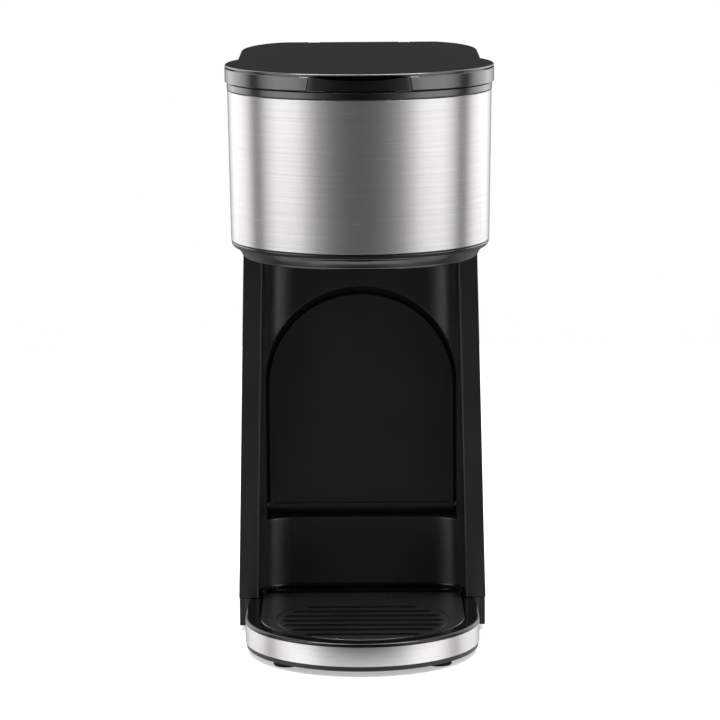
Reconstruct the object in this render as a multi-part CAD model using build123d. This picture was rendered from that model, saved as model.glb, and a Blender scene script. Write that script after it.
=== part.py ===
from build123d import *
import os
from math import cos, radians, sin, sqrt

# Single-serve coffee maker: a steel-clad brewing drum at the top of a slim column, a base with a
# drip tray in front of it, and a cup rest that folds down out of an arch-shaped pocket.
# Millimetres, X to the right, Y to the back, Z up. Every piece is modelled about the vertical
# brewing axis with the table at Z = 0, and moved at the end so that the origin lies under the
# middle of the footprint.

# Lid
overall_height = 304.5
lid_r = 68.2
lid_waist = 5.8
works_depth = 66.9
lid_corner_r = 31.0
corner_stretch = 28.0
lid_waist_r = 5.0
lid_height = 9.1
lid_wall = 2.5
lid_edge_r = 1.1
hinge_pin_r = 1.5
hinge_lug_x = 22.0
hinge_lug_width = 5.0
hinge_pin_overhang = 8.0
hinge_room = 2.0
grip_half_top = 25.2
grip_half_bottom = 26.4
grip_dish = 2.5
grip_lip = 1.6
grip_depth = 7.0
liner_recess = 0.3
liner_thickness = 1.8
duct_r = 5.0
duct_half = 4.0

# Deck under the lid
deck_height = 3.2
deck_inset = 1.0
pod_rim = 1.0
tank_mouth_inset = 3.5
lug_foot_half = 3.45

# Drum
drum_inset = 1.2
drum_taper = 1.2
drum_height = 76.9
steel_thickness = 0.7
drum_wall = 2.5
steel_tuck = 3.0
ring_height = 3.1
ring_inset = 0.2
ring_edge_r = 2.6
bowl_height = 5.3
bowl_inset = 7.1
bowl_wall = 3.0
bowl_bulge = 2.6
bowl_bulge_share = 0.45
spout_r = 5.5
spout_bore_r = 3.5
spout_recess = 1.0

# Column
column_inset = 1.4
column_flare = 0.1
column_splay = 4.2
column_knee_z = 200.0
column_rear_inset = 2.0
column_wall = 2.5
wing_front = 40.0
cheek_front = 26.0
wing_width = 10.4
recess_splay = 4.2
recess_depth = 26.0
recess_taper = 3.0
recess_corner_r = 18.0
panel_wall = 2.2

# Cup rest and its pocket
pocket_side = 10.5
pocket_top_gap = 25.6
pocket_floor_z = 56.2
rest_side_gap = 1.1
rest_top_gap = 4.5
rest_setback = 2.0
rest_floor_gap = 1.6
rest_thickness = 8.0
rest_rim = 2.4
rest_dish = 1.4
rest_foot_band = 7.0
rest_pin_r = 1.6
rest_pin_reach = 12.0
rest_edge_r = 0.8
rest_back_relief = 1.0

# Base
foot_height = 3.0
foot_r = 6.5
foot_inset = 21.75
foot_front = -33.0
foot_rear_inset = 24.0
foot_stud_r = 3.0
foot_edge_r = 0.6
foot_stud_root = 0.5
plate_thickness = 2.4
base_inset = 5.05
base_neck = 2.05
base_straight = 26.0
band_height = 10.2
band_thickness = 0.6
rim_height = 1.9
rim_edge_r = 1.5
block_side_inset = 0.3
block_rear_inset = 0.5
screw_angle = 28.5
base_wall = 2.5
shadow_gap = 0.4
ledge_rise = 0.5
sill_height = 2.0
well_floor = 1.6
plinth_inset = 2.0
wiring_room = 2.0

# Drip tray and grate
tray_rim = 7.65
ledge_depth = 10.0
tray_corner_r = 4.0
tray_wall = 1.8
tray_gap = 0.5
grate_thickness = 1.9
grate_top_drop = 0.5
grate_skirt = 2.6
grate_skirt_wall = 1.6
grate_edge = 0.4
slot_pitch = 10.0
slot_width = 5.0
slot_count = 7
slot_centre_y = -8.0
groove_inset = 8.6
slot_field_inset = 2.5
groove_centre_y = -6.0
groove_half_width = 0.4
groove_depth = 0.3

# Brewing parts
chamber_room = 1.0
chamber_wall = 2.0
chamber_foot_gap = 14.9
chamber_flange = 5.0
chamber_cone_share = 0.35
holder_top_r = 26.0
holder_bottom_r = 21.8
holder_wall = 2.0
holder_depth = 52.0
holder_sink = 0.4
holder_seat_depth = 1.6
holder_hole_r = 1.6
holder_hole_place = 10.0
needle_r = 1.5
needle_length = 9.0
needle_point = 3.0
needle_tip_r = 0.2
needle_collar = 2.0
needle_collar_height = 1.0
seal_r = 8.0
seal_thickness = 2.2
port_back_gap = 0.8
port_r = 4.4
port_depth = 3.0
port_spigot = 9.0
port_bore_r = 1.6

# Tank and water path
tank_front_gap = 1.4
tank_gap = 1.8
tank_wall = 2.0
tank_floor_gap = 1.4
hose_r = 4.0
hose_bore_r = 2.6
spigot_r = 2.5
strainer_r = 9.0
strainer_wall = 1.5
strainer_height = 5.0
strainer_hole_r = 0.9
strainer_hole_pitch = 4.0
valve_r = 7.0
valve_height = 10.0
valve_spigot = 8.0
valve_bore_r = 1.5
pump_side_inset = 31.1
works_gap = 1.6
pump_size = 33.0
pump_z = 36.0
pump_height = 42.0
pump_corner_r = 3.0
pump_head_r = 9.0
pump_head_height = 12.0
pump_spigot = 8.0
pump_outlet = 7.0
pump_mount_offset = 9.0
pump_mount_half = 9.0
pump_mount_width = 7.0
boiler_board_gap = 8.5
boiler_r = 16.0
boiler_z = 40.0
boiler_height = 82.0
boiler_edge_r = 2.0
boiler_inlet = 6.0
boiler_outlet = 4.0
bracket_low = 34.0
bracket_band = 10.0
bracket_sheet = 1.8
bracket_half = 8.0
bracket_foot = 7.0
terminal_place = 6.0
terminal_r = 3.5
terminal_height = 6.0
tab_r = 1.2
tab_height = 6.0
thermostat_r = 5.2
thermostat_height = 5.0
thermostat_place = 10.0
tab_width = 6.0
tab_thickness = 0.8
tab_reach = 4.0
fuse_r = 2.2
fuse_half = 7.0
fuse_wire_r = 0.6
fuse_wire_half = 13.0
fuse_place = 9.0
link_z = 60.0
riser_bend_r = 8.0
riser_straight = 0.5

# Controls, on the right side
board_gap = 1.2
panel_top_gap = 6.0
panel_width = 25.0
panel_height = 72.0
panel_corner_r = 4.0
button_pitch = 22.0
button_r = 7.5
button_travel = 1.5
button_flange_r = 9.2
button_flange = 1.2
button_edge_r = 0.6
button_stem_r = 2.5
board_side_inset = 12.6
board_thickness = 1.6
board_front = 8.0
board_depth = 28.0
rail_wall = 1.5
rail_end = 4.0
rail_grip = 4.0
switch_height = 3.2
switch_half = 3.0
lens_r = 1.3

# Back
cover_half = 30.0
cover_z = 50.0
cover_top_gap = 5.0
cover_thickness = 1.6
cover_lap = 6.0
cover_corner_r = 1.5
boss_depth = 9.0
vent_width = 2.2
vent_pitch = 7.0
vent_count = 8
inlet_z = 34.0
inlet_bore_r = 3.7
inlet_r = 6.5
inlet_flange_r = 9.5
inlet_depth = 5.5
inlet_flange = 1.5
inlet_edge_r = 0.9
strip_gap = 3.0
strip_width = 16.0
strip_depth = 7.0
strip_height = 8.0
screw_r = 1.5
screw_head_r = 2.8
screw_head = 1.3
socket_r = 1.05
small_head_r = 2.1
small_head = 0.8
small_socket = 0.5

# Clearances
fit_gap = 0.1
loose_gap = 0.3
running_gap = 0.06

# Heights worked out from the stack
plate_z = foot_height
shell_z = plate_z + plate_thickness
band_top_z = shell_z + band_height
base_top_z = band_top_z + rim_height
column_z = base_top_z + shadow_gap
sill_z = column_z + sill_height
ledge_z = base_top_z + ledge_rise
lid_z = overall_height - lid_height
deck_top_z = lid_z - fit_gap * 2
deck_z = deck_top_z - deck_height
drum_z = deck_z - drum_height - fit_gap
ring_z = drum_z - ring_height
bowl_z = ring_z - bowl_height
tray_z = shell_z + well_floor + fit_gap * 2
grate_top_z = base_top_z - grate_top_drop
grate_z = grate_top_z - grate_thickness
riser_turn_z = boiler_z + boiler_height + fit_gap + hose_r + riser_bend_r + riser_straight
tank_z = riser_turn_z + hose_r + tank_floor_gap
cover_height = tank_z - cover_top_gap - cover_z
panel_z = tank_z - panel_top_gap - panel_height / 2

# Widths and radii worked out from the lid
lid_half_width = lid_r - lid_waist
drum_top_r = lid_r - drum_inset
drum_bottom_r = drum_top_r - drum_taper
ring_r = drum_bottom_r - ring_inset
bowl_r = ring_r - bowl_inset
column_top_half = lid_half_width - column_inset
column_knee_half = column_top_half + column_flare
column_foot_half = column_knee_half + column_splay
recess_top_half = column_knee_half - wing_width
recess_bottom_half = recess_top_half + recess_splay
pocket_half = column_knee_half - pocket_side
rest_half = pocket_half - rest_side_gap
base_r = drum_bottom_r - base_inset
block_half = column_foot_half - block_side_inset
foot_x = base_r - foot_inset
tray_half = base_r - tray_rim
groove_r = tray_half - groove_inset
slot_field_r = groove_r - slot_field_inset
chamber_r = holder_top_r + chamber_room + chamber_wall
pod_mouth_r = chamber_r + pod_rim
pump_x = pump_side_inset - column_knee_half
board_x = column_knee_half - board_side_inset
boiler_x = board_x - boiler_board_gap - boiler_r
port_x = boiler_x

# Pocket, and depths worked out from front to back
pocket_centre_z = bowl_z - pocket_top_gap - pocket_half
rest_top_z = pocket_centre_z + pocket_half - rest_top_gap
recess_bottom_y = wing_front + recess_depth
recess_top_y = recess_bottom_y - recess_taper
rest_front = recess_bottom_y + rest_setback
rest_axis_y = rest_front + rest_thickness / 2
rest_axis_z = pocket_floor_z + rest_thickness / 2 + rest_floor_gap
pocket_back = rest_front + rest_thickness + loose_gap * 2
port_y = pocket_back + panel_wall + hose_r + port_back_gap
tank_front = port_y + hose_r + tank_front_gap
lid_rear = pocket_back + works_depth
column_rear = lid_rear - column_rear_inset
column_corner_r = lid_corner_r - column_rear_inset
block_rear = column_rear - block_rear_inset
foot_rear = block_rear - foot_rear_inset
tray_rear = recess_bottom_y - ledge_depth
well_back = tray_rear + tray_gap + base_wall
steel_rear = cheek_front + steel_tuck
boiler_y = column_rear - boss_depth - works_gap - bracket_sheet - fit_gap - boiler_r
pump_y = boiler_y
panel_y = pocket_back + panel_wall + board_gap + board_front
hinge_r = (lid_height - fit_gap) / 2
hinge_y = lid_rear - hinge_r
hinge_z = overall_height - hinge_r
footprint_centre_y = (lid_rear - lid_r) / 2


def slab(sketch, z0, z1):
    return extrude(Plane.XY.offset(z0) * sketch, z1 - z0)


def slab_y(sketch, y0, y1):
    return extrude(Plane.XZ.offset(-y0) * sketch, y0 - y1)


def slab_x(sketch, x0, x1):
    return extrude(Plane.YZ.offset(x0) * sketch, x1 - x0)


def block(x0, x1, y0, y1, z0, z1):
    return Pos((x0 + x1) / 2, (y0 + y1) / 2, (z0 + z1) / 2) * Box(x1 - x0, y1 - y0, z1 - z0)


def post(x, y, r, z0, z1):
    return Pos(x, y, (z0 + z1) / 2) * Cylinder(r, z1 - z0)


def pipe(x, y, r, bore, z0, z1):
    return post(x, y, r, z0, z1) - post(x, y, bore, z0, z1)


def rod_x(y, z, r, x0, x1):
    return Pos((x0 + x1) / 2, y, z) * Rot(0, 90, 0) * Cylinder(r, x1 - x0)


def rod_y(x, z, r, y0, y1):
    return Pos(x, (y0 + y1) / 2, z) * Rot(90, 0, 0) * Cylinder(r, y1 - y0)


def turned(points):
    return revolve(Plane.XZ * make_face(Polyline(*points, close=True)), Axis.Z)


def section(half, front, rear, corner_r):
    run = corner_r + corner_stretch
    start = rear - run
    side = Line((half, front), (half, start))
    corner = EllipticalCenterArc((half - corner_r, start), corner_r, run)
    back = Line((half - corner_r, rear), (corner_r - half, rear))
    left = [mirror(edge, Plane.YZ) for edge in (side, corner)]
    return make_face([Line((-half, front), (half, front)), side, corner, back] + left)


def column_half(z):
    if z >= column_knee_z:
        share = (z - column_knee_z) / (deck_z - column_knee_z)
        return column_knee_half + (column_top_half - column_knee_half) * share
    share = (z - column_z) / (column_knee_z - column_z)
    return column_foot_half + (column_knee_half - column_foot_half) * share


def column_side(y, z):
    run = column_corner_r + corner_stretch
    past = max(y - column_rear + run, 0)
    return column_half(z) - column_corner_r * (1 - sqrt(1 - (past / run) ** 2))


def column_form(inset, front, z0, z1):
    levels = [z0] + [column_knee_z] * (z0 < column_knee_z < z1) + [z1]
    corner = column_corner_r - inset
    flats = [section(column_half(z) - inset, front, column_rear - inset, corner) for z in levels]
    return loft([Plane.XY.offset(z) * flat for z, flat in zip(levels, flats)], ruled=True)


def plan(r, half, rear, corner_r):
    outline = Circle(r) + section(half, 0, rear, corner_r)
    waist_y = sqrt(r * r - half * half)
    waist = [v for v in outline.vertices() if abs(v.Y - waist_y) < 0.5]
    return fillet(waist, lid_waist_r)


def deck_plan(inset):
    grown = deck_inset + inset
    return plan(lid_r - grown, lid_half_width - grown, lid_rear - grown, lid_corner_r - grown)


def lid_plan(inset):
    return plan(lid_r - inset, lid_half_width - inset, lid_rear - inset, lid_corner_r - inset)


def tray_plan(half, rear):
    outline = Circle(half) + Pos(0, rear / 2) * Rectangle(2 * half, rear)
    return fillet(outline.vertices().sort_by(Axis.Y)[-2:], tray_corner_r + half - tray_half)


def base_plan(r):
    neck = r - base_neck
    right = [Line((r, 0), (r, base_straight))]
    right.append(TangentArc((r, base_straight), (neck, wing_front), tangent=(0, 1)))
    right.append(Line((neck, wing_front), (neck, wing_front + base_wall)))
    left = [mirror(edge, Plane.YZ) for edge in right]
    back = Line((neck, wing_front + base_wall), (-neck, wing_front + base_wall))
    return make_face([ThreePointArc((-r, 0), (0, -r), (r, 0)), back] + right + left)


def arch(half, centre_z, floor_z):
    stem = Pos(0, (floor_z + centre_z) / 2) * Rectangle(2 * half, centre_z - floor_z)
    head = Pos(0, centre_z) * Circle(half) & Pos(0, centre_z + half / 2) * Rectangle(2 * half, half)
    return stem + head


def recess_plan(grow, z):
    share = (z - sill_z) / (bowl_z - sill_z)
    half = recess_bottom_half + (recess_top_half - recess_bottom_half) * share + grow
    rear = recess_bottom_y + (recess_top_y - recess_bottom_y) * share + grow
    flat = Pos(0, rear / 2) * Rectangle(2 * half, rear)
    return fillet(flat.vertices().sort_by(Axis.Y)[-2:], recess_corner_r + grow)


def recess(grow, z0, z1):
    return loft([Plane.XY.offset(z) * recess_plan(grow, z) for z in (z0, z1)], ruled=True)


def drum_ring(inset, thickness, z0, z1):
    def r(z):
        share = (z - drum_z) / drum_height
        return drum_bottom_r + (drum_top_r - drum_bottom_r) * share - inset

    outer = [(r(z0), z0), (r(z1), z1)]
    inner = [(r(z1) - thickness, z1), (r(z0) - thickness, z0)]
    return turned(outer + inner)


# Base


def screw_places():
    front_r = base_r - tray_rim / 2
    front_x, front_y = front_r * cos(radians(screw_angle)), -front_r * sin(radians(screw_angle))
    rear_x = block_half - column_corner_r
    front = [(side * front_x, front_y) for side in (-1, 1)]
    rear = [(side * rear_x, block_rear - 2 * screw_head_r - base_wall) for side in (-1, 1)]
    return front + rear


def foot_places():
    return [(side * foot_x, y) for side in (-1, 1) for y in (foot_front, foot_rear)]


def block_plan(inset):
    return section(block_half - inset, wing_front + inset, block_rear - inset, column_corner_r - inset)


def make_base_plate():
    plate = slab(base_plan(base_r - band_thickness) + block_plan(0), plate_z, shell_z)
    for x, y in foot_places():
        plate -= post(x, y, foot_stud_r + fit_gap, plate_z, shell_z)
    for x, y in screw_places():
        plate -= post(x, y, screw_r + fit_gap, plate_z, shell_z)
        plate -= post(x, y, screw_head_r + fit_gap, plate_z, plate_z + screw_head)
    return plate


def make_base_shell():
    drum = slab(base_plan(base_r - band_thickness - fit_gap), shell_z, band_top_z)
    rim = slab(base_plan(base_r), band_top_z, base_top_z)
    front_edges = [e for e in rim.edges().group_by(Axis.Z)[-1] if e.center().Y < wing_front]
    rim = fillet(front_edges, rim_edge_r)
    low = section(column_foot_half - plinth_inset, wing_front + plinth_inset,
                  column_rear - plinth_inset, column_corner_r - plinth_inset)
    inner = column_wall + loose_gap
    high = section(column_half(sill_z) - inner, wing_front, column_rear - inner, column_corner_r - inner)
    shell = drum + rim + slab(block_plan(0), shell_z, base_top_z)
    shell += slab(low, base_top_z, column_z) + slab(high, column_z, sill_z)
    wing_back = wing_front + inner
    wing_inner = recess_bottom_half - loose_gap
    for side in (-1, 1):
        x0, x1 = sorted((side * wing_inner, side * column_foot_half))
        shell -= block(x0, x1, wing_front, wing_back, column_z, sill_z)
    well = tray_plan(tray_half + tray_gap, tray_rear + tray_gap)
    shell -= slab(well, shell_z + well_floor, sill_z)
    shell -= slab(recess_plan(0, sill_z), ledge_z, sill_z)
    room = block_plan(base_wall) - Pos(0, well_back / 2) * Rectangle(2 * block_half, well_back)
    shell -= slab(room, shell_z, base_top_z - base_wall)
    left, right = pump_x - pump_size / 2 - wiring_room, boiler_x + boiler_r + wiring_room
    reach = pump_mount_offset + pump_mount_width / 2 + wiring_room
    shell -= block(left, right, pump_y - reach, pump_y + reach, shell_z, sill_z)
    for x, y in screw_places():
        if y > 0:
            shell += post(x, y, screw_head_r + base_wall / 2, shell_z, base_top_z - base_wall)
        shell -= post(x, y, screw_r + running_gap, shell_z, band_top_z - base_wall)
    return shell


def make_base_screws():
    shank_top = band_top_z - base_wall - loose_gap
    screws = []
    for x, y in screw_places():
        head = post(x, y, screw_head_r, plate_z, plate_z + screw_head - running_gap)
        socket = post(x, y, socket_r, plate_z, plate_z + screw_head / 2)
        screws.append(head + post(x, y, screw_r, plate_z, shank_top) - socket)
    return screws


def make_rubber_feet():
    feet = []
    for x, y in foot_places():
        pad = post(x, y, foot_r, 0, foot_height - running_gap)
        pad = fillet(pad.edges().sort_by(Axis.Z)[0], foot_edge_r)
        feet.append(pad + post(x, y, foot_stud_r, foot_stud_root, shell_z - loose_gap))
    return feet


def make_trim_band():
    band = slab(base_plan(base_r), shell_z + fit_gap, band_top_z - fit_gap)
    band -= slab(base_plan(base_r - band_thickness), shell_z, band_top_z)
    return band - block(-base_r, base_r, wing_front - fit_gap, wing_front + 2 * base_wall, 0, base_top_z)


def make_drip_tray():
    tray = slab(tray_plan(tray_half, tray_rear), tray_z, grate_z - fit_gap)
    hollow = tray_plan(tray_half - tray_wall, tray_rear - tray_wall)
    return tray - slab(hollow, tray_z + tray_wall, grate_z)


def make_drip_grate():
    inset = tray_wall + loose_gap
    grate = slab(tray_plan(tray_half - fit_gap, tray_rear - fit_gap), grate_z, grate_top_z)
    grate = chamfer(grate.edges().group_by(Axis.Z)[-1], grate_edge)
    skirt = slab(tray_plan(tray_half - inset, tray_rear - inset), grate_z - grate_skirt, grate_z)
    inner = inset + grate_skirt_wall
    skirt -= slab(tray_plan(tray_half - inner, tray_rear - inner), grate_z - grate_skirt, grate_z)
    grate += skirt
    for i in range(slot_count):
        step = (i - (slot_count - 1) / 2) * slot_pitch
        length = 2 * sqrt(slot_field_r**2 - step**2)
        slot = Pos(0, slot_centre_y + step) * SlotOverall(length, slot_width)
        grate -= slab(slot, grate_z, grate_top_z)
    groove = Circle(groove_r + groove_half_width) - Circle(groove_r - groove_half_width)
    return grate - slab(Pos(0, groove_centre_y) * groove, grate_top_z - groove_depth, grate_top_z)


# Column


def panel_outline(inset):
    flat = Pos(panel_y, panel_z) * Rectangle(panel_width - 2 * inset, panel_height - 2 * inset)
    return fillet(flat.vertices(), panel_corner_r - inset)


def button_heights():
    return [panel_z + step * button_pitch for step in (-1, 0, 1)]


def make_column_shell():
    cheek_z = ring_z
    shell = column_form(0, wing_front, column_z, deck_z) + column_form(0, cheek_front, cheek_z, deck_z)
    shell -= column_form(column_wall, wing_front + column_wall, column_z, deck_z)
    shell -= column_form(column_wall, cheek_front + column_wall, cheek_z + column_wall, deck_z)
    shell -= recess(0, column_z, bowl_z)
    shell -= post(0, 0, drum_top_r + loose_gap, bowl_z, deck_z)
    shell -= slab_x(panel_outline(0), board_x, column_foot_half)
    lap = cover_lap
    low, high = cover_z, cover_z + cover_height
    gap = fit_gap
    shell -= block(-cover_half + lap, cover_half - lap, column_rear - 2 * column_wall, column_rear,
                   low + lap, high - lap)
    shell -= block(-cover_half - gap, cover_half + gap, column_rear - cover_thickness - gap,
                   column_rear, low - gap, high + gap)
    for x, z in cover_screw_places():
        shell += rod_y(x, z, screw_head_r, column_rear - boss_depth, column_rear - cover_thickness - gap)
        shell -= rod_y(x, z, screw_r + running_gap, column_rear - boss_depth, column_rear)
    return shell - rod_y(0, inlet_z, inlet_r + fit_gap, column_rear - 2 * column_wall, column_rear)


def make_front_panel():
    front = wing_front + column_wall + fit_gap
    low, high = sill_z + fit_gap, bowl_z - loose_gap
    skin = recess(panel_wall, low, high)
    floor_z = pocket_floor_z - panel_wall
    skin += slab_y(arch(pocket_half + panel_wall, pocket_centre_z, floor_z), 0, pocket_back + panel_wall)
    skin -= recess(0, low, high)
    skin -= block(-2 * lid_r, 2 * lid_r, -2 * lid_r, front, low, high)
    skin -= slab_y(arch(pocket_half, pocket_centre_z, pocket_floor_z), 0, pocket_back)
    pin = rod_x(rest_axis_y, rest_axis_z, rest_pin_r + running_gap / 2, -column_knee_half, column_knee_half)
    return skin - pin


def make_cup_rest():
    centre_z = rest_top_z - rest_half
    outline = arch(rest_half, centre_z, rest_axis_z)
    rest = slab_y(outline, rest_front, rest_front + rest_thickness)
    rest = fillet(rest.edges().group_by(Axis.Y)[0].sort_by(Axis.Z)[-1], rest_edge_r)
    rest += rod_x(rest_axis_y, rest_axis_z, rest_thickness / 2, -rest_half, rest_half)
    dish = arch(rest_half - rest_rim, centre_z, pocket_floor_z + rest_foot_band)
    rest -= slab_y(dish, rest_front, rest_front + rest_dish)
    back = rest_front + rest_thickness
    relief = arch(rest_half - 2 * rest_rim, centre_z, rest_axis_z + rest_thickness)
    rest -= slab_y(relief, back - rest_back_relief, back)
    bore = rest_pin_r + running_gap
    for side in (-1, 1):
        x0, x1 = sorted((side * (rest_half - rest_pin_reach), side * rest_half))
        rest -= rod_x(rest_axis_y, rest_axis_z, bore, x0, x1)
    return rest


def make_cup_rest_pins():
    inner = rest_half - rest_pin_reach + loose_gap
    outer = pocket_half + panel_wall
    pins = []
    for side in (-1, 1):
        x0, x1 = sorted((side * inner, side * outer))
        pins.append(rod_x(rest_axis_y, rest_axis_z, rest_pin_r, x0, x1))
    return pins


def cover_screw_places():
    inset = cover_lap / 2
    levels = (cover_z + inset, cover_z + cover_height - inset)
    return [(side * (cover_half - inset), z) for side in (-1, 1) for z in levels]


def make_rear_cover():
    front = column_rear - cover_thickness
    cover = block(-cover_half, cover_half, front, column_rear, cover_z, cover_z + cover_height)
    cover = fillet(cover.edges().filter_by(Axis.Y), cover_corner_r)
    for i in range(vent_count):
        z = cover_z + cover_height / 2 + (i - (vent_count - 1) / 2) * vent_pitch
        slot = Pos(0, z) * SlotOverall(2 * (cover_half - 2 * cover_lap), vent_width)
        cover -= slab_y(slot, front, column_rear)
    for x, z in cover_screw_places():
        cover -= rod_y(x, z, screw_r + fit_gap, front, column_rear)
        cover -= rod_y(x, z, small_head_r + fit_gap, column_rear - small_head - fit_gap, column_rear)
    return cover


def make_rear_screws():
    screws = []
    for x, z in cover_screw_places():
        head = rod_y(x, z, small_head_r, column_rear - small_head, column_rear)
        shank = rod_y(x, z, screw_r, column_rear - boss_depth + loose_gap, column_rear - small_socket)
        screws.append(head + shank - rod_y(x, z, socket_r, column_rear - small_socket, column_rear))
    return screws


def make_cord_gland():
    inner = column_rear - inlet_depth
    seat = column_rear + fit_gap
    flange = rod_y(0, inlet_z, inlet_flange_r, seat, seat + inlet_flange)
    flange = fillet(flange.edges().sort_by(Axis.Y)[-1], inlet_edge_r)
    gland = rod_y(0, inlet_z, inlet_r, inner, seat) + flange
    return gland - rod_y(0, inlet_z, inlet_bore_r, inner, seat + inlet_flange)


# Drum, deck and brewing parts


def make_steel_wrap():
    wrap = drum_ring(0, steel_thickness, drum_z + fit_gap, deck_z - fit_gap)
    return wrap - block(-lid_r, lid_r, steel_rear, lid_r, 0, overall_height)


def make_head_shell():
    inset = steel_thickness + 2 * fit_gap
    return drum_ring(inset, drum_wall, drum_z + fit_gap, deck_z - fit_gap)


def make_head_underside():
    plate_top = drum_z
    lip = bowl_r - bowl_wall
    top = Line((spout_r + loose_gap, plate_top), (ring_r, plate_top))
    side = Line((ring_r, plate_top), (ring_r, ring_z + ring_edge_r))
    corner = TangentArc((ring_r, ring_z + ring_edge_r), (ring_r - ring_edge_r, ring_z), tangent=(0, -1))
    bulge = (bowl_r + bowl_bulge, ring_z - bowl_height * bowl_bulge_share)
    bowl = ThreePointArc((ring_r - ring_edge_r, ring_z), bulge, (bowl_r, bowl_z))
    under = Polyline((bowl_r, bowl_z), (lip, bowl_z), (lip, ring_z), (spout_r + loose_gap, ring_z),
                     (spout_r + loose_gap, plate_top))
    profile = make_face([top, side, corner, bowl] + under.edges())
    return revolve(Plane.XZ * profile, Axis.Z)


def tank_plan(inset):
    outer = column_wall + tank_gap + inset
    front = tank_front + inset
    whole = section(column_top_half - outer, 0, column_rear - outer, column_corner_r - outer)
    return whole - Pos(0, front / 2) * Rectangle(2 * lid_r, front)


def make_top_deck():
    deck = slab(deck_plan(0), deck_z, deck_top_z)
    deck -= post(0, 0, pod_mouth_r, deck_z, deck_top_z)
    deck -= slab(tank_plan(tank_mouth_inset), deck_z, deck_top_z)
    deck -= post(port_x, port_y, port_r + fit_gap, deck_z, deck_top_z)
    for side in (-1, 1):
        x0, x1 = sorted((side * hinge_lug_x, side * (hinge_lug_x + hinge_lug_width)))
        lug = rod_x(hinge_y, hinge_z, hinge_r - fit_gap, x0, x1)
        lug += block(x0, x1, hinge_y - lug_foot_half, hinge_y + lug_foot_half, deck_top_z, hinge_z)
        lug -= rod_x(hinge_y, hinge_z, hinge_pin_r + running_gap / 2, x0, x1)
        deck += lug
    return deck


def make_brew_chamber():
    top = deck_z - fit_gap
    r, t = chamber_r, chamber_wall
    foot = drum_z + chamber_foot_gap
    neck = foot - (r - spout_r) * chamber_cone_share
    end = bowl_z + spout_recess
    rim = r + chamber_flange
    outer = [(rim, top), (rim, top - t), (r, top - t), (r, foot), (spout_r, neck), (spout_r, end)]
    bore = [(spout_bore_r, end), (spout_bore_r, neck), (r - t, foot + t), (r - t, top)]
    return turned(outer + bore)


def make_pod_holder():
    seat = deck_z
    flange_r = pod_mouth_r - loose_gap
    top = deck_top_z - holder_sink
    t = holder_wall
    foot = top - holder_depth
    a, b = holder_top_r, holder_bottom_r
    outer = [(flange_r, top), (flange_r, seat), (a, seat), (b, foot), (needle_r + fit_gap, foot)]
    step_z = top - holder_seat_depth
    inner = [(needle_r + fit_gap, foot + t), (b - t, foot + t), (a - t, step_z), (a, step_z), (a, top)]
    holder = turned(outer + inner)
    place = holder_hole_place
    for x, y in ((place, 0), (-place, 0), (0, place), (0, -place)):
        holder -= post(x, y, holder_hole_r, foot, foot + t)
    return holder


def needle(root_z, tip_z, flange_low, flange_high):
    shoulder = tip_z - needle_point if tip_z > root_z else tip_z + needle_point
    body = turned([(0, root_z), (needle_r, root_z), (needle_r, shoulder), (needle_tip_r, tip_z), (0, tip_z)])
    return body + post(0, 0, needle_r + needle_collar, flange_low, flange_high)


def make_exit_needle():
    foot = deck_top_z - holder_sink - holder_depth
    seat = foot + holder_wall
    return needle(foot, seat + needle_length, seat + running_gap, seat + needle_collar_height)


def make_water_port():
    shoulder = deck_z - port_depth
    low = shoulder - port_spigot
    port = post(port_x, port_y, spigot_r, low, deck_z) + post(port_x, port_y, port_r, shoulder, deck_top_z)
    return port - post(port_x, port_y, port_bore_r, low, deck_top_z)


def make_water_tank():
    top = deck_z - loose_gap
    tank = slab(tank_plan(0), tank_z, top) - slab(tank_plan(tank_wall), tank_z + tank_wall, top)
    return tank - post(pump_x, pump_y, spigot_r + fit_gap, tank_z, tank_z + tank_wall)


def make_tank_strainer():
    low = tank_z + tank_wall + fit_gap
    top = low + strainer_height
    strainer = post(pump_x, pump_y, strainer_r, low, top + 1)
    strainer -= post(pump_x, pump_y, strainer_r - strainer_wall, low, top)
    for x in (-strainer_hole_pitch, 0, strainer_hole_pitch):
        for y in (-strainer_hole_pitch, 0, strainer_hole_pitch):
            strainer -= post(pump_x + x, pump_y + y, strainer_hole_r, top, top + 1)
    return strainer


def make_outlet_valve():
    top = tank_z - fit_gap
    low = top - valve_height - valve_spigot
    valve = post(pump_x, pump_y, valve_r, top - valve_height, top)
    valve += post(pump_x, pump_y, spigot_r, low, top + tank_wall)
    return valve - post(pump_x, pump_y, valve_bore_r, low, top + tank_wall)


def make_inlet_hose():
    low = pump_z + pump_height + pump_head_height + fit_gap
    top = tank_z - fit_gap - valve_height - fit_gap
    return pipe(pump_x, pump_y, hose_r, hose_bore_r, low, top)


def make_pump():
    half = pump_size / 2
    top = pump_z + pump_height
    coil = block(pump_x - half, pump_x + half, pump_y - half, pump_y + half, pump_z, top)
    coil = fillet(coil.edges().filter_by(Axis.Z), pump_corner_r)
    head_top = top + pump_head_height
    head = post(pump_x, pump_y, pump_head_r, top, head_top)
    head += post(pump_x, pump_y, spigot_r, head_top, head_top + pump_spigot)
    return coil + head + rod_x(pump_y, link_z, spigot_r, pump_x, pump_x + half + pump_outlet)


def make_pump_mounts():
    mounts = []
    for side in (-1, 1):
        y = pump_y + side * pump_mount_offset
        y0, y1 = y - pump_mount_width / 2, y + pump_mount_width / 2
        x0, x1 = pump_x - pump_mount_half, pump_x + pump_mount_half
        mounts.append(block(x0, x1, y0, y1, shell_z + fit_gap, pump_z - fit_gap))
    return mounts


def make_pump_hose():
    x0 = pump_x + pump_size / 2 + fit_gap
    x1 = boiler_x - boiler_r - loose_gap
    return rod_x(pump_y, link_z, hose_r, x0, x1) - rod_x(pump_y, link_z, hose_bore_r, x0, x1)


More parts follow.
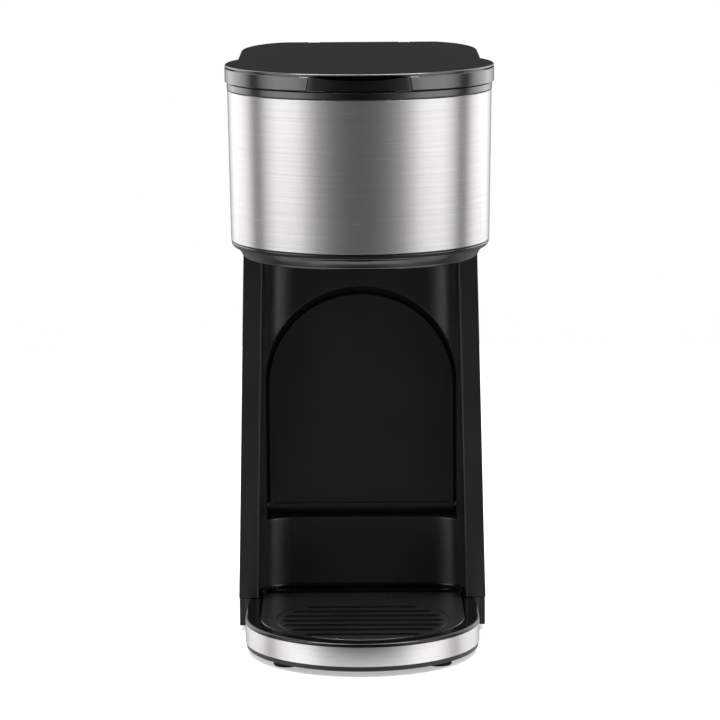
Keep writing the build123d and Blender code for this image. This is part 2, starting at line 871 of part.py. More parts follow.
def make_boiler():
    top = boiler_z + boiler_height
    tank = post(boiler_x, boiler_y, boiler_r, boiler_z, top)
    tank = fillet(tank.edges().filter_by(GeomType.CIRCLE), boiler_edge_r)
    tank += rod_x(boiler_y, link_z, spigot_r, boiler_x - boiler_r - boiler_inlet, boiler_x)
    return tank + post(boiler_x, boiler_y, spigot_r, top - boiler_edge_r, top + boiler_outlet)


def make_boiler_bracket():
    low = boiler_z + bracket_low
    high = low + bracket_band
    r = boiler_r + fit_gap
    x0, x1 = boiler_x - bracket_half, boiler_x + bracket_half
    y = boiler_y + r
    seat = sill_z + fit_gap
    clamp = post(boiler_x, boiler_y, r + bracket_sheet, low, high)
    leg = block(x0, x1, y, y + bracket_sheet, seat, high)
    foot = block(x0, x1, y - bracket_foot, y, seat, seat + bracket_sheet)
    return clamp + leg + foot - post(boiler_x, boiler_y, r, low, high)


def make_heater_terminals():
    top = boiler_z - fit_gap
    low = top - terminal_height
    ends = []
    for side in (-1, 1):
        x = boiler_x + side * terminal_place
        ends.append(post(x, boiler_y, terminal_r, low, top) + post(x, boiler_y, tab_r, low - tab_height, low))
    return ends


def make_thermostat():
    low = boiler_z + boiler_height + fit_gap
    top = low + thermostat_height
    x = boiler_x + thermostat_place
    y0, y1 = boiler_y - tab_width / 2, boiler_y + tab_width / 2
    cap = post(x, boiler_y, thermostat_r, low, top)
    for x0 in (x - tab_reach, x + tab_reach - tab_thickness):
        cap += block(x0, x0 + tab_thickness, y0, y1, top, top + tab_height)
    return cap


def make_thermal_fuse():
    x = boiler_x - fuse_place
    z = boiler_z + boiler_height + fuse_r + fit_gap
    body = rod_y(x, z, fuse_r, boiler_y - fuse_half, boiler_y + fuse_half)
    return body + rod_y(x, z, fuse_wire_r, boiler_y - fuse_wire_half, boiler_y + fuse_wire_half)


def make_riser_tube():
    start = boiler_z + boiler_height + fit_gap
    end = deck_z - port_depth - fit_gap
    path = FilletPolyline((boiler_x, boiler_y, start), (boiler_x, boiler_y, riser_turn_z),
                          (port_x, port_y, riser_turn_z), (port_x, port_y, end), radius=riser_bend_r)
    ring = Circle(hose_r) - Circle(hose_bore_r)
    return sweep(Plane((boiler_x, boiler_y, start)) * ring, path)


# Controls


def make_control_bezel():
    wall = column_form(0, wing_front, column_z, deck_z)
    wall -= column_form(column_wall, wing_front + column_wall, column_z, deck_z)
    bezel = wall & slab_x(panel_outline(fit_gap), board_x, column_foot_half)
    for z in button_heights():
        bezel -= rod_x(panel_y, z, button_r + loose_gap, board_x, column_foot_half)
    for z in lens_heights():
        bezel -= rod_x(panel_y, z, lens_r + fit_gap / 2, board_x, column_foot_half)
    return bezel


def lens_heights():
    return [panel_z - button_pitch / 2, panel_z + button_pitch / 2]


def make_button(z):
    face = column_side(panel_y, z + button_r) - loose_gap
    back = column_side(panel_y + button_flange_r, z + button_flange_r) - column_wall - loose_gap
    cap = rod_x(panel_y, z, button_r, back - button_flange, face)
    cap = fillet(cap.edges().sort_by(Axis.X)[-1], button_edge_r)
    flange = rod_x(panel_y, z, button_flange_r, back - button_flange, back)
    stem_end = board_x + board_thickness + switch_height + button_travel + loose_gap
    return cap + flange + rod_x(panel_y, z, button_stem_r, stem_end, back)


def make_indicator_lenses():
    lenses = []
    for z in lens_heights():
        face = column_side(panel_y + lens_r, z + lens_r) - fit_gap
        lenses.append(rod_x(panel_y, z, lens_r, face - column_wall, face))
    return lenses


def board_box(grow):
    half = panel_height / 2 + grow
    y0 = panel_y - board_front
    return block(board_x - grow, board_x + board_thickness + grow, y0 - grow, y0 + board_depth + grow,
                 panel_z - half, panel_z + half)


def make_board_rail():
    x0, x1 = board_x - rail_wall, board_x + board_thickness + rail_wall
    y0 = panel_y - board_front + rail_end
    y1 = y0 + board_depth - 2 * rail_end
    top = panel_z - panel_height / 2 + rail_grip
    return block(x0, x1, y0, y1, sill_z + fit_gap, top) - board_box(fit_gap)


def make_tact_switches():
    x = board_x + board_thickness + running_gap
    end = x + switch_height - running_gap
    half = switch_half
    return [block(x, end, panel_y - half, panel_y + half, z - half, z + half) for z in button_heights()]


def make_terminal_block():
    x0 = pump_x + strip_gap
    y1 = column_rear - column_wall - screw_r
    return block(x0, x0 + strip_width, y1 - strip_depth, y1, sill_z + fit_gap, sill_z + strip_height)


# Lid


def grip_plan(inset):
    low, high = lid_z, overall_height - grip_lip - inset
    foot, head = grip_half_bottom - inset, grip_half_top - inset
    return make_face(Polyline((-foot, low), (foot, low), (head, high), (-head, high), close=True))


def lid_form():
    form = slab(lid_plan(0), lid_z, overall_height)
    form = fillet(form.edges().group_by(Axis.Z)[-1], lid_edge_r)
    barrel = rod_x(hinge_y, hinge_z, hinge_r, -lid_half_width, lid_half_width)
    behind = block(-lid_r, lid_r, hinge_y, lid_rear + 1, lid_z, overall_height)
    return form - (behind - barrel)


def make_lid_cover():
    cover = lid_form()
    rear = hinge_y - hinge_r - hinge_room
    hollow = slab(lid_plan(lid_wall), lid_z, overall_height - lid_wall)
    hollow -= block(-lid_r, lid_r, rear, lid_rear, lid_z, overall_height)
    front = -lid_r + grip_depth
    hollow -= slab_y(grip_plan(0), -lid_r, front + lid_wall)
    cover -= hollow
    cover -= slab_y(grip_plan(0), -lid_r - 1, front)
    for side in (-1, 1):
        x0, x1 = sorted((side * (hinge_lug_x - loose_gap), side * (hinge_lug_x + hinge_lug_width + loose_gap)))
        cover -= block(x0, x1, hinge_y - hinge_r - hinge_room / 2, lid_rear, lid_z, overall_height)
    reach = hinge_lug_x + hinge_lug_width + hinge_pin_overhang
    return cover - rod_x(hinge_y, hinge_z, hinge_pin_r + running_gap, -reach, reach)


def make_lid_grip():
    front = -lid_r + grip_depth - fit_gap
    grip = slab_y(grip_plan(fit_gap), -lid_r, front) & slab(Circle(lid_r), lid_z, overall_height)
    sag = lid_r - sqrt(lid_r**2 - grip_half_top**2) - grip_dish
    face_r = (grip_half_top**2 + sag**2) / (2 * sag)
    face = Pos(0, face_r - lid_r + grip_dish) * Circle(face_r)
    return grip & slab(face, lid_z, overall_height)


def make_lid_hinge_pin():
    reach = hinge_lug_x + hinge_lug_width + hinge_pin_overhang - loose_gap
    return rod_x(hinge_y, hinge_z, hinge_pin_r, -reach, reach)


def liner_levels():
    return lid_z + liner_recess, lid_z + liner_recess + liner_thickness


def make_lid_liner():
    low, high = liner_levels()
    liner = slab(lid_plan(lid_wall + loose_gap), low, high)
    liner -= block(-lid_r, lid_r, hinge_y - hinge_r - hinge_room - loose_gap, lid_rear, low, high)
    front = -lid_r + grip_depth + lid_wall + loose_gap
    liner -= block(-grip_half_bottom - loose_gap, grip_half_bottom + loose_gap, -lid_r, front, low, high)
    liner -= post(0, 0, needle_r + fit_gap, low, high)
    return liner - post(port_x, port_y, port_bore_r, low, high)


def make_lid_duct():
    low = liner_levels()[1] + fit_gap
    high = overall_height - lid_wall - fit_gap
    away = sqrt(port_x**2 + port_y**2)
    side_x, side_y = duct_half * port_y / away, -duct_half * port_x / away
    corners = [(side_x, side_y), (port_x + side_x, port_y + side_y),
               (port_x - side_x, port_y - side_y), (-side_x, -side_y)]
    ends = Circle(duct_r) + Pos(port_x, port_y) * Circle(duct_r)
    return slab(ends + make_face(Polyline(*corners, close=True)), low, high)


def make_entry_needle():
    low, high = liner_levels()
    return needle(high, low - needle_length, low - needle_collar_height, low - running_gap)


def make_needle_seal():
    low = liner_levels()[0]
    return pipe(0, 0, seal_r, needle_r + needle_collar + fit_gap, low - seal_thickness, low - running_gap)


pieces = {
    "base_shell": make_base_shell(),
    "base_plate": make_base_plate(),
    "base_screws": make_base_screws(),
    "rubber_feet": make_rubber_feet(),
    "trim_band": make_trim_band(),
    "drip_tray": make_drip_tray(),
    "drip_grate": make_drip_grate(),
    "column_shell": make_column_shell(),
    "front_panel": make_front_panel(),
    "cup_rest": make_cup_rest(),
    "cup_rest_pins": make_cup_rest_pins(),
    "rear_cover": make_rear_cover(),
    "rear_screws": make_rear_screws(),
    "cord_gland": make_cord_gland(),
    "steel_wrap": make_steel_wrap(),
    "head_shell": make_head_shell(),
    "head_underside": make_head_underside(),
    "top_deck": make_top_deck(),
    "brew_chamber": make_brew_chamber(),
    "pod_holder": make_pod_holder(),
    "exit_needle": make_exit_needle(),
    "water_port": make_water_port(),
    "water_tank": make_water_tank(),
    "tank_strainer": make_tank_strainer(),
    "outlet_valve": make_outlet_valve(),
    "inlet_hose": make_inlet_hose(),
    "pump": make_pump(),
    "pump_mounts": make_pump_mounts(),
    "pump_hose": make_pump_hose(),
    "boiler": make_boiler(),
    "boiler_bracket": make_boiler_bracket(),
    "heater_terminals": make_heater_terminals(),
    "thermostat": make_thermostat(),
    "thermal_fuse": make_thermal_fuse(),
    "riser_tube": make_riser_tube(),
    "control_bezel": make_control_bezel(),
    "control_board": board_box(0),
    "board_rail": make_board_rail(),
    "indicator_lenses": make_indicator_lenses(),
    "tact_switches": make_tact_switches(),
    "terminal_block": make_terminal_block(),
    "lid_cover": make_lid_cover(),
    "lid_grip": make_lid_grip(),
    "lid_hinge_pin": make_lid_hinge_pin(),
    "lid_liner": make_lid_liner(),
    "lid_duct": make_lid_duct(),
    "entry_needle": make_entry_needle(),
    "needle_seal": make_needle_seal(),
}
for name, z in zip(("power_button", "hot_button", "iced_button"), button_heights()):
    pieces[name] = make_button(z)

os.makedirs("parts", exist_ok=True)
for name, shape in pieces.items():
    solids = shape if isinstance(shape, list) else [shape]
    group = Compound([s for piece in solids for s in piece.solids()])
    export_step(Pos(0, -footprint_centre_y, 0) * group, f"parts/{name}.step")
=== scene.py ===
import bpy
import bmesh
from math import atan2, cos, degrees, pi, radians, sin, sqrt
from mathutils import Matrix, Vector


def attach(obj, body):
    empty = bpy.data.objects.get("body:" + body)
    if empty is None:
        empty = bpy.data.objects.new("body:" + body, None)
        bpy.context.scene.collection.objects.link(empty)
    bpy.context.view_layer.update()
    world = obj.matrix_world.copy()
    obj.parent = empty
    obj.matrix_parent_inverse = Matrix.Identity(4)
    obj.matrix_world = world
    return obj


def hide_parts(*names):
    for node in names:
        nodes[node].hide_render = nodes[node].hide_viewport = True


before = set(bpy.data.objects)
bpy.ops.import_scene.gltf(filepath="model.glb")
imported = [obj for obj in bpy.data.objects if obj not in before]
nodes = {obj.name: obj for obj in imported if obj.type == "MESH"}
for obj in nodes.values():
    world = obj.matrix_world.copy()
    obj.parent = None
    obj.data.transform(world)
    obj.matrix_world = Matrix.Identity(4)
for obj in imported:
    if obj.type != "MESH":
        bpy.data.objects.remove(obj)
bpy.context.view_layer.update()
scene = bpy.context.scene
mm = 0.001
drumY = -37.65      # the brewing axis in mm; every piece is drawn about it, then moved
print("frame loaded,", len(nodes), "nodes")


# shader helpers
def blankMaterial(name):
    material = bpy.data.materials.new(name)
    material.use_nodes = True
    tree = material.node_tree
    return material, tree, tree.nodes["Principled BSDF"]


def mathOn(tree, operation, first, second=None):
    node = tree.nodes.new("ShaderNodeMath")
    node.operation = operation
    tree.links.new(first, node.inputs[0])
    if isinstance(second, float):
        node.inputs[1].default_value = second
    elif second is not None:
        tree.links.new(second, node.inputs[1])
    return node.outputs[0]


def objectCoords(tree, stretch=(1.0, 1.0, 1.0)):
    coord = tree.nodes.new("ShaderNodeTexCoord")
    mapping = tree.nodes.new("ShaderNodeMapping")
    mapping.inputs["Scale"].default_value = stretch
    tree.links.new(coord.outputs["Object"], mapping.inputs["Vector"])
    return mapping.outputs["Vector"]


def noiseOn(tree, vector, scale, detail, roughness=0.5):
    noise = tree.nodes.new("ShaderNodeTexNoise")
    noise.inputs["Scale"].default_value = scale
    noise.inputs["Detail"].default_value = detail
    noise.inputs["Roughness"].default_value = roughness
    tree.links.new(vector, noise.inputs["Vector"])
    return noise.outputs["Fac"]


def spread(tree, value, low, high, fromLow=0.3, fromHigh=0.7):
    # noise keeps mostly between 0.3 and 0.7, so that part is drawn out to the whole range
    ranged = tree.nodes.new("ShaderNodeMapRange")
    ranged.inputs["From Min"].default_value = fromLow
    ranged.inputs["From Max"].default_value = fromHigh
    ranged.inputs["To Min"].default_value = low
    ranged.inputs["To Max"].default_value = high
    tree.links.new(value, ranged.inputs["Value"])
    return ranged.outputs["Result"]


def twoTone(tree, value, dark, light):
    mix = tree.nodes.new("ShaderNodeMix")
    mix.data_type = "RGBA"
    mix.inputs["A"].default_value = (*dark, 1.0)
    mix.inputs["B"].default_value = (*light, 1.0)
    tree.links.new(value, mix.inputs["Factor"])
    return mix.outputs["Result"]


def bumpOn(tree, shader, height, strength, distance):
    bump = tree.nodes.new("ShaderNodeBump")
    bump.inputs["Strength"].default_value = strength
    bump.inputs["Distance"].default_value = distance
    tree.links.new(height, bump.inputs["Height"])
    tree.links.new(bump.outputs["Normal"], shader.inputs["Normal"])


# camera: a long lens a little under two metres away, looking slightly down
shot = {
    "place": (0.0, -1.85985, 0.4540),
    "lens": 180.0,
    "sensor": 36.0,
    "pitch": 9.408,
    "roll": -0.340,
    "shiftX": -0.00133,
    "farClip": 60.0,
}


def makeCamera():
    data = bpy.data.cameras.new("camera")
    data.lens = shot["lens"]
    data.sensor_width = shot["sensor"]
    data.sensor_fit = "HORIZONTAL"
    data.shift_x = shot["shiftX"]
    data.clip_end = shot["farClip"]
    camera = bpy.data.objects.new("camera", data)
    scene.collection.objects.link(camera)
    tilt = Matrix.Rotation(radians(90 - shot["pitch"]), 4, "X")
    roll = Matrix.Rotation(radians(shot["roll"]), 4, "Z")
    camera.matrix_world = Matrix.Translation(shot["place"]) @ tilt @ roll
    scene.camera = camera


# sky: brightness by the angle from straight in front, 0, to straight behind, 180, the same on both sides;
# two soft boxes beside the object and a bright rear, and plain white where the camera sees it
sky = {
    "bands": [(0, 0.05), (14, 0.09), (26, 0.28), (37, 0.66), (46, 1.45), (55, 2.25), (64, 2.40), (76, 2.40),
              (84, 1.95), (91, 1.30), (98, 0.40), (105, 0.30), (115, 1.60), (125, 2.20), (142, 2.30), (157, 1.10),
              (168, 0.30), (174, 0.06), (180, 0.05)],
    "seen": (1.0, 1.0, 1.0, 1.0),
}


def makeSky():
    world = bpy.data.worlds.new("studio")
    scene.world = world
    world.use_nodes = True
    tree = world.node_tree
    tree.nodes.clear()
    coord = tree.nodes.new("ShaderNodeTexCoord")
    split = tree.nodes.new("ShaderNodeSeparateXYZ")
    tree.links.new(coord.outputs["Generated"], split.inputs[0])
    forward = mathOn(tree, "MULTIPLY", split.outputs["Y"], -1.0)
    sideways = mathOn(tree, "ABSOLUTE", split.outputs["X"])
    angle = mathOn(tree, "ARCTAN2", sideways, forward)
    ramp = tree.nodes.new("ShaderNodeValToRGB")
    tree.links.new(mathOn(tree, "DIVIDE", angle, pi), ramp.inputs[0])
    stops = ramp.color_ramp.elements
    while len(stops) < len(sky["bands"]):
        stops.new(0.5)
    for stop, (azimuth, level) in zip(stops, sky["bands"]):
        stop.position = azimuth / 180
        stop.color = (level, level, level, 1.0)
    lit = tree.nodes.new("ShaderNodeBackground")
    tree.links.new(ramp.outputs[0], lit.inputs["Color"])
    seen = tree.nodes.new("ShaderNodeBackground")
    seen.inputs["Color"].default_value = sky["seen"]
    path = tree.nodes.new("ShaderNodeLightPath")
    mix = tree.nodes.new("ShaderNodeMixShader")
    tree.links.new(path.outputs["Is Camera Ray"], mix.inputs[0])
    tree.links.new(lit.outputs[0], mix.inputs[1])
    tree.links.new(seen.outputs[0], mix.inputs[2])
    out = tree.nodes.new("ShaderNodeOutputWorld")
    tree.links.new(mix.outputs[0], out.inputs["Surface"])
    scene.view_settings.view_transform = "Standard"


# overhead: one long soft box, which draws the bright line along the lid's front edge
overhead = {"place": (0.0, -0.15, 1.7), "wide": 2.0, "deep": 0.45, "power": 48.0}


def makeOverhead():
    data = bpy.data.lights.new("overhead", "AREA")
    data.shape = "RECTANGLE"
    data.size = overhead["wide"]
    data.size_y = overhead["deep"]
    data.energy = overhead["power"]
    lamp = bpy.data.objects.new("overhead", data)
    scene.collection.objects.link(lamp)
    lamp.location = overhead["place"]


# floor: white to the camera; what it throws back on the object is greyer, and fades out past the base
floorLook = {
    "half": 0.95,
    "seen": (0.80, 0.80, 0.80, 1.0),
    "near": (0.40, 0.40, 0.40),
    "far": (0.06, 0.06, 0.06),
    "fadeFrom": 0.16,
    "fadeTo": 0.22,
    "fadeStretch": 1.35,        # the fade comes sooner in front than at the sides
    "glow": 0.44,
    "glowColor": (1.0, 1.0, 1.0, 1.0),
    "rough": 0.22,
}


def makeFloor():
    d = floorLook
    bm = bmesh.new()
    bmesh.ops.create_grid(bm, x_segments=1, y_segments=1, size=d["half"])
    mesh = bpy.data.meshes.new("floor")
    bm.to_mesh(mesh)
    bm.free()
    floor = bpy.data.objects.new("floor", mesh)
    scene.collection.objects.link(floor)
    material, tree, shader = blankMaterial("floor white")
    path = tree.nodes.new("ShaderNodeLightPath")
    away = tree.nodes.new("ShaderNodeVectorMath")
    away.operation = "LENGTH"
    tree.links.new(objectCoords(tree, (1.0, d["fadeStretch"], 1.0)), away.inputs[0])
    fade = spread(tree, away.outputs["Value"], 0.0, 1.0, d["fadeFrom"], d["fadeTo"])
    tone = tree.nodes.new("ShaderNodeMix")
    tone.data_type = "RGBA"
    tree.links.new(path.outputs["Is Camera Ray"], tone.inputs["Factor"])
    tree.links.new(twoTone(tree, fade, d["near"], d["far"]), tone.inputs["A"])
    tone.inputs["B"].default_value = d["seen"]
    tree.links.new(tone.outputs["Result"], shader.inputs["Base Color"])
    glow = mathOn(tree, "MULTIPLY", path.outputs["Is Camera Ray"], d["glow"])
    tree.links.new(glow, shader.inputs["Emission Strength"])
    shader.inputs["Emission Color"].default_value = d["glowColor"]
    shader.inputs["Roughness"].default_value = d["rough"]
    mesh.materials.append(material)


# plastics and rubber: a broad mottle in colour and gloss, and a fine moulded grain
plasticLooks = {
    "columnBlack": {"dark": (0.010, 0.010, 0.011), "light": (0.016, 0.016, 0.017), "rough": (0.38, 0.46),
                    "grain": 5200.0, "depth": 0.00002, "strength": 0.35, "specular": 0.5},
    "panelBlack": {"dark": (0.011, 0.011, 0.012), "light": (0.017, 0.017, 0.018), "rough": (0.30, 0.38),
                   "grain": 5200.0, "depth": 0.00002, "strength": 0.3, "specular": 0.5},
    "glossBlack": {"dark": (0.0016, 0.0016, 0.0018), "light": (0.003, 0.003, 0.0033), "rough": (0.05, 0.09),
                   "grain": 900.0, "depth": 0.00001, "strength": 0.08, "specular": 0.9},
    "lidBlack": {"dark": (0.0016, 0.0016, 0.0018), "light": (0.003, 0.003, 0.0033), "rough": (0.05, 0.09),
                 "grain": 900.0, "depth": 0.00001, "strength": 0.08, "specular": 1.0},
    "trayBlack": {"dark": (0.008, 0.008, 0.009), "light": (0.013, 0.013, 0.014), "rough": (0.24, 0.32),
                  "grain": 4200.0, "depth": 0.00002, "strength": 0.25, "specular": 0.6},
    "wellBlack": {"dark": (0.002, 0.002, 0.002), "light": (0.004, 0.004, 0.004), "rough": (0.42, 0.52),
                  "grain": 4200.0, "depth": 0.00002, "strength": 0.3, "specular": 0.3},
    "baseBlack": {"dark": (0.0018, 0.0018, 0.002), "light": (0.0035, 0.0035, 0.0038), "rough": (0.10, 0.16),
                  "grain": 1400.0, "depth": 0.00001, "strength": 0.1, "specular": 0.35},
    "rubberBlack": {"dark": (0.012, 0.012, 0.012), "light": (0.022, 0.022, 0.022), "rough": (0.75, 0.9),
                    "grain": 3500.0, "depth": 0.00004, "strength": 0.5, "specular": 0.3},
    "buttonGrey": {"dark": (0.045, 0.045, 0.048), "light": (0.058, 0.058, 0.061), "rough": (0.40, 0.48),
                   "grain": 5200.0, "depth": 0.00002, "strength": 0.3, "specular": 0.5},
    "whitePlastic": {"dark": (0.68, 0.68, 0.66), "light": (0.76, 0.76, 0.74), "rough": (0.38, 0.46),
                     "grain": 4200.0, "depth": 0.00002, "strength": 0.25, "specular": 0.5},
    "ceramicWhite": {"dark": (0.74, 0.71, 0.66), "light": (0.83, 0.80, 0.75), "rough": (0.55, 0.7),
                     "grain": 3800.0, "depth": 0.00004, "strength": 0.4, "specular": 0.4},
    "boardGreen": {"dark": (0.012, 0.10, 0.035), "light": (0.02, 0.14, 0.05), "rough": (0.25, 0.35),
                   "grain": 1500.0, "depth": 0.00003, "strength": 0.3, "specular": 0.5},
}
plasticNoise = {"mottle": 26.0, "mottleDetail": 3.0, "grainDetail": 2.0}


def makePlastic(name):
    look, noise = plasticLooks[name], plasticNoise
    material, tree, shader = blankMaterial(name)
    mottle = noiseOn(tree, objectCoords(tree), noise["mottle"], noise["mottleDetail"])
    grain = noiseOn(tree, objectCoords(tree), look["grain"], noise["grainDetail"])
    tree.links.new(twoTone(tree, mottle, look["dark"], look["light"]), shader.inputs["Base Color"])
    tree.links.new(spread(tree, mottle, *look["rough"]), shader.inputs["Roughness"])
    shader.inputs["Specular IOR Level"].default_value = look["specular"]
    bumpOn(tree, shader, grain, look["strength"], look["depth"])
    return material


# brushed steels: noise that is drawn out level makes the brush hairs and the wider streaks
steelLooks = {
    "brushedSteel": {"dark": (0.445, 0.438, 0.434), "light": (0.485, 0.477, 0.472), "rough": (0.20, 0.28),
                     "metal": 0.80, "depth": 0.00002, "strength": 0.12},
    "bandSteel": {"dark": (0.70, 0.69, 0.68), "light": (0.76, 0.75, 0.745), "rough": (0.10, 0.16),
                  "metal": 1.0, "depth": 0.00002, "strength": 0.1},
}
brush = {
    "hairs": (7.0, 7.0, 3400.0), "hairDetail": 6.0, "hairRoughness": 0.65,
    "streaks": (5.0, 5.0, 1300.0), "streakDetail": 3.0,
    "anisotropic": 0.7, "turn": 0.25,
}


def makeSteel(name):
    look = steelLooks[name]
    material, tree, shader = blankMaterial(name)
    hairs = noiseOn(tree, objectCoords(tree, brush["hairs"]), 1.0, brush["hairDetail"], brush["hairRoughness"])
    streaks = noiseOn(tree, objectCoords(tree, brush["streaks"]), 1.0, brush["streakDetail"])
    tone = twoTone(tree, spread(tree, streaks, 0.0, 1.0), look["dark"], look["light"])
    tree.links.new(tone, shader.inputs["Base Color"])
    tree.links.new(spread(tree, hairs, *look["rough"]), shader.inputs["Roughness"])
    shader.inputs["Metallic"].default_value = look["metal"]
    shader.inputs["Anisotropic"].default_value = brush["anisotropic"]
    shader.inputs["Anisotropic Rotation"].default_value = brush["turn"]
    bumpOn(tree, shader, hairs, look["strength"], look["depth"])
    return material


# plated and cast metals of the pieces inside
metalLooks = {
    "zincPlate": {"dark": (0.52, 0.52, 0.53), "light": (0.66, 0.66, 0.66), "rough": (0.26, 0.4), "grain": 700.0},
    "castAluminium": {"dark": (0.50, 0.50, 0.51), "light": (0.62, 0.62, 0.63), "rough": (0.45, 0.62),
                      "grain": 1600.0},
}
metalGrain = {"detail": 4.0, "strength": 0.2, "depth": 0.00003}


def makeMetal(name):
    look = metalLooks[name]
    material, tree, shader = blankMaterial(name)
    grain = noiseOn(tree, objectCoords(tree), look["grain"], metalGrain["detail"])
    tree.links.new(twoTone(tree, grain, look["dark"], look["light"]), shader.inputs["Base Color"])
    tree.links.new(spread(tree, grain, *look["rough"]), shader.inputs["Roughness"])
    shader.inputs["Metallic"].default_value = 1.0
    bumpOn(tree, shader, grain, metalGrain["strength"], metalGrain["depth"])
    return material


# tank, hoses and lamp lenses let some light through
clearLooks = {
    "smokeTank": {"dark": (0.10, 0.10, 0.11), "light": (0.14, 0.14, 0.15), "rough": (0.08, 0.14), "through": 0.7},
    "siliconeHose": {"dark": (0.72, 0.70, 0.66), "light": (0.80, 0.78, 0.74), "rough": (0.35, 0.5),
                     "through": 0.35},
    "lampLens": {"dark": (0.62, 0.66, 0.74), "light": (0.72, 0.76, 0.84), "rough": (0.08, 0.16), "through": 0.5},
}
clearNoise = {"mottle": 60.0, "detail": 3.0}


def makeClear(name):
    look = clearLooks[name]
    material, tree, shader = blankMaterial(name)
    mottle = noiseOn(tree, objectCoords(tree), clearNoise["mottle"], clearNoise["detail"])
    tree.links.new(twoTone(tree, mottle, look["dark"], look["light"]), shader.inputs["Base Color"])
    tree.links.new(spread(tree, mottle, *look["rough"]), shader.inputs["Roughness"])
    shader.inputs["Transmission Weight"].default_value = look["through"]
    return material


finishes = {name: makePlastic(name) for name in plasticLooks}
finishes.update({name: makeSteel(name) for name in steelLooks})
finishes.update({name: makeMetal(name) for name in metalLooks})
finishes.update({name: makeClear(name) for name in clearLooks})
print("materials made,", len(finishes), "finishes")

nodeFinishes = {
    "columnBlack": ["base_plate", "column_shell", "rear_cover", "head_shell", "board_rail", "tact_switches"],
    "panelBlack": ["front_panel", "cup_rest", "brew_chamber", "pod_holder"],
    "glossBlack": ["head_underside", "top_deck", "control_bezel"],
    "baseBlack": ["base_shell"],
    "lidBlack": ["lid_cover", "lid_grip", "lid_liner"],
    "trayBlack": ["drip_grate"],
    "wellBlack": ["drip_tray"],
    "brushedSteel": ["steel_wrap"],
    "bandSteel": ["trim_band"],
    "rubberBlack": ["rubber_feet", "cord_gland", "pump_mounts"],
    "buttonGrey": ["power_button", "hot_button", "iced_button"],
    "whitePlastic": ["water_port", "tank_strainer", "outlet_valve", "pump", "terminal_block", "lid_duct"],
    "ceramicWhite": ["heater_terminals"],
    "boardGreen": ["control_board"],
    "zincPlate": ["base_screws", "rear_screws", "cup_rest_pins", "exit_needle", "entry_needle", "boiler_bracket",
                  "thermostat", "thermal_fuse", "lid_hinge_pin"],
    "castAluminium": ["boiler"],
    "smokeTank": ["water_tank"],
    "siliconeHose": ["inlet_hose", "pump_hose", "riser_tube", "needle_seal"],
    "lampLens": ["indicator_lenses"],
}


def dressNodes():
    for finish, names in nodeFinishes.items():
        for name in names:
            slots = nodes[name].data.materials
            slots.clear()
            slots.append(finishes[finish])


# piece making: shapes are drawn in mm about the drum's axis
def addPiece(bm, name, finish, body, smooth):
    mesh = bpy.data.meshes.new(name)
    bm.to_mesh(mesh)
    bm.free()
    mesh.shade_smooth()
    mesh.set_sharp_from_angle(angle=radians(smooth))
    piece = bpy.data.objects.new(name, mesh)
    scene.collection.objects.link(piece)
    mesh.materials.append(finishes[finish])
    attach(piece, body)
    return piece


def finishPiece(bm, name, finish, body, node, smooth=32.0, merge=0.004):
    bmesh.ops.remove_doubles(bm, verts=bm.verts, dist=merge)
    bmesh.ops.recalc_face_normals(bm, faces=bm.faces)
    bmesh.ops.scale(bm, vec=(mm, mm, mm), verts=bm.verts)
    bmesh.ops.translate(bm, vec=(0.0, drumY * mm, 0.0), verts=bm.verts)
    piece = addPiece(bm, name, finish, body, smooth)
    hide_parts(node)


def turnProfile(bm, points, steps, start=0.0, sweep=360.0):
    verts = [bm.verts.new((r * cos(radians(start)), r * sin(radians(start)), z)) for r, z in points]
    edges = [bm.edges.new(pair) for pair in zip(verts, verts[1:])]
    bmesh.ops.spin(bm, geom=verts + edges, axis=(0, 0, 1), cent=(0, 0, 0), angle=radians(sweep), steps=steps,
                   use_merge=sweep == 360.0)


def extrudeRings(bm, rings, capFirst=False):
    # the first ring is drawn, then its edges are extruded to each next ring, and the last one is filled
    verts = [bm.verts.new(p) for p in rings[0]]
    edges = [bm.edges.new((a, b)) for a, b in zip(verts, verts[1:] + verts[:1])]
    if capFirst:
        bmesh.ops.contextual_create(bm, geom=edges)
    for ring in rings[1:]:
        grown = bmesh.ops.extrude_edge_only(bm, edges=edges)["geom"]
        fresh = {g for g in grown if isinstance(g, bmesh.types.BMVert)}
        verts = [next(e.other_vert(v) for e in v.link_edges if e.other_vert(v) in fresh) for v in verts]
        edges = [g for g in grown if isinstance(g, bmesh.types.BMEdge) and set(g.verts) <= fresh]
        for vert, spot in zip(verts, ring):
            vert.co = spot
    bmesh.ops.contextual_create(bm, geom=edges)


# steel wrap: a thin sheet round the front of the drum, slightly narrower at the foot, with tiny hems
wrap = {"topR": 67.0, "bottomR": 65.8, "low": 215.45, "high": 291.5, "rear": 29.0, "sheet": 0.7, "hem": 0.25,
        "steps": 232}


def makeSteelWrap():
    d = wrap
    bm = bmesh.new()
    top, low, t, h = d["topR"], d["bottomR"], d["sheet"], d["hem"]
    points = [(low - t, d["low"]), (low - h, d["low"]), (low, d["low"] + h), (top, d["high"] - h),
              (top - h, d["high"]), (top - t, d["high"])]
    tuck = 90 - degrees(atan2(sqrt(top ** 2 - d["rear"] ** 2), d["rear"]))
    turnProfile(bm, points, d["steps"], start=tuck, sweep=-(180 + 2 * tuck))
    finishPiece(bm, "steelWrap", "brushedSteel", "housing", "steel_wrap")


# underside: the gloss ring under the wrap, then the shallow bowl with its rounded lip, open round the spout
underside = {
    "plateTop": 215.0, "plateEdge": 0.3,
    "ringR": 65.6, "ringLow": 211.9, "ringEdge": 2.6,
    "bowlLip": [(60.9, 209.6), (60.2, 208.1), (59.4, 207.1), (58.5, 206.6)],
    "bowlR": 58.5, "bowlLow": 206.6, "bowlWall": 3.0, "bowlEdge": 0.4,
    "spoutHole": 5.8, "steps": 240,
}


